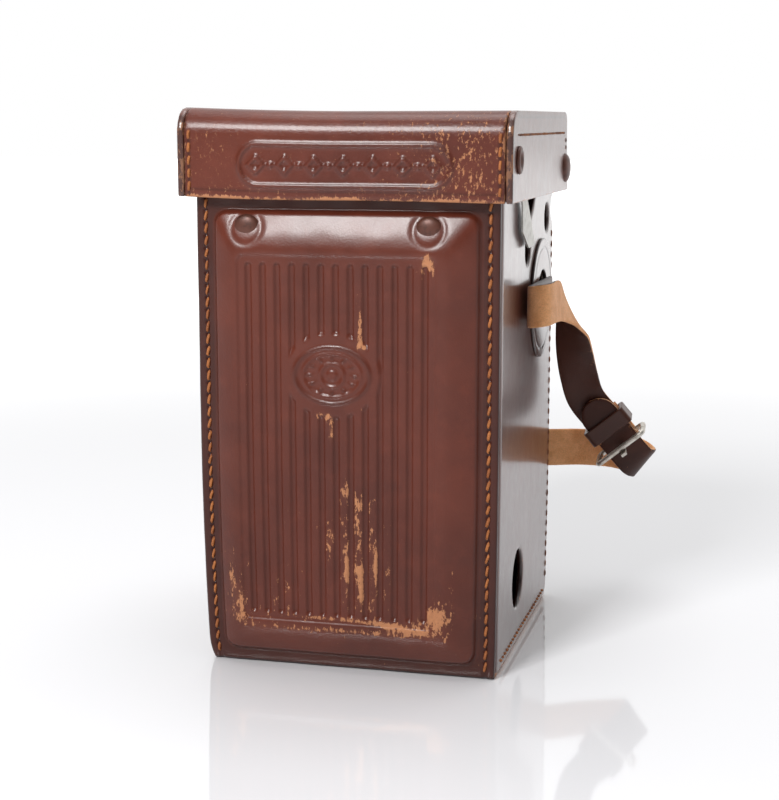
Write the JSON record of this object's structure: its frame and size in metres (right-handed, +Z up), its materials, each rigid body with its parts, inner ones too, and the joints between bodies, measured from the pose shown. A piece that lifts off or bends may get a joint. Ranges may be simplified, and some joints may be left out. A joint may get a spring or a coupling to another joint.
{
  "type": "leather camera case",
  "caption": "Stiff sewn leather case for a twin lens reflex camera, with a hinged lid, two sprung catch arms and a buckled carrying strap.",
  "frame": {"origin": "centre of the base on the face the case stands on", "axes": "+X to the viewer's right of the ribbed front, -Y out of the ribbed front, +Z up"},
  "size_m": [0.1267, 0.1112, 0.156],
  "materials": {
    "box_leather": "smooth, worn",
    "lid_leather": "smooth, worn",
    "strap_leather": "smooth, worn",
    "felt": "matte",
    "thread": "matte",
    "nickel": "satin",
    "rivet": "satin",
    "black_steel": "satin"
  },
  "bodies": {
    "box": {"back_lining": "felt", "back_panel": "box_leather", "base_lining": "felt", "base_panel": "box_leather", "front_lining": "felt", "front_panel": "box_leather", "front_rivets": "rivet", "hinge_lower_leaf": "box_leather", "hinge_lower_seam": "thread", "left_edge_seam": "thread", "left_front_seam": "thread", "left_lining": "felt", "left_lug_plate": "black_steel", "left_lug_ring": "box_leather", "left_lug_stud": "black_steel", "left_side_panel": "box_leather", "right_edge_seam": "thread", "right_front_seam": "thread", "right_lining": "felt", "right_lug_plate": "black_steel", "right_lug_ring": "box_leather", "right_lug_stud": "black_steel", "right_side_panel": "box_leather"},
    "buckle": {"buckle_frame": "nickel"},
    "prong": {"buckle_prong": "nickel"},
    "lid": {"hinge_upper_leaf": "lid_leather", "hinge_upper_seam": "thread", "left_catch_rivet": "rivet", "left_rear_rivet": "rivet", "lid_front_seams": "thread", "lid_left_cheek": "lid_leather", "lid_left_seam": "thread", "lid_lining": "felt", "lid_right_cheek": "lid_leather", "lid_right_seam": "thread", "lid_wrap": "lid_leather", "right_catch_rivet": "rivet", "right_rear_rivet": "rivet"},
    "left_catch": {"left_catch_arm": "nickel"},
    "strap": {"long_strap": "strap_leather", "short_strap": "strap_leather"},
    "right_catch": {"right_catch_arm": "nickel"},
    "keeper": {"strap_keeper": "strap_leather"}
  },
  "joints": [
    {"name": "lid_hinge", "type": "hinge", "parent": "box", "child": "lid", "pos_m": [0, 0.0478, 0.131], "axis": [-1, 0, 0], "range_deg": [0, 110]},
    {"name": "right_catch_turn", "type": "hinge", "parent": "lid", "child": "right_catch", "pos_m": [0.04425, -0.0405, 0.143], "axis": [1, 0, 0], "range_deg": [-6, 22]},
    {"name": "left_catch_turn", "type": "hinge", "parent": "lid", "child": "left_catch", "pos_m": [-0.04425, -0.0405, 0.143], "axis": [1, 0, 0], "range_deg": [-6, 22]},
    {"name": "strap_swing", "type": "hinge", "parent": "box", "child": "strap", "pos_m": [0, 0.022, 0.1], "axis": [1, 0, 0], "range_deg": [0, 55]},
    {"name": "keeper_slide", "type": "slide", "parent": "strap", "child": "keeper", "axis": [0.6287, 0.12, -0.7684], "range_m": [-0.004, 0.001]},
    {"name": "buckle_turn", "type": "hinge", "parent": "strap", "child": "buckle", "pos_m": [0.06538, 0.05264, 0.05115], "axis": [0.774, 0, 0.6332], "range_deg": [-5, 5]},
    {"name": "prong_turn", "type": "hinge", "parent": "buckle", "child": "prong", "pos_m": [0.06538, 0.05264, 0.05115], "axis": [0.774, 0, 0.6332], "range_deg": [0, 12]}
  ]
}
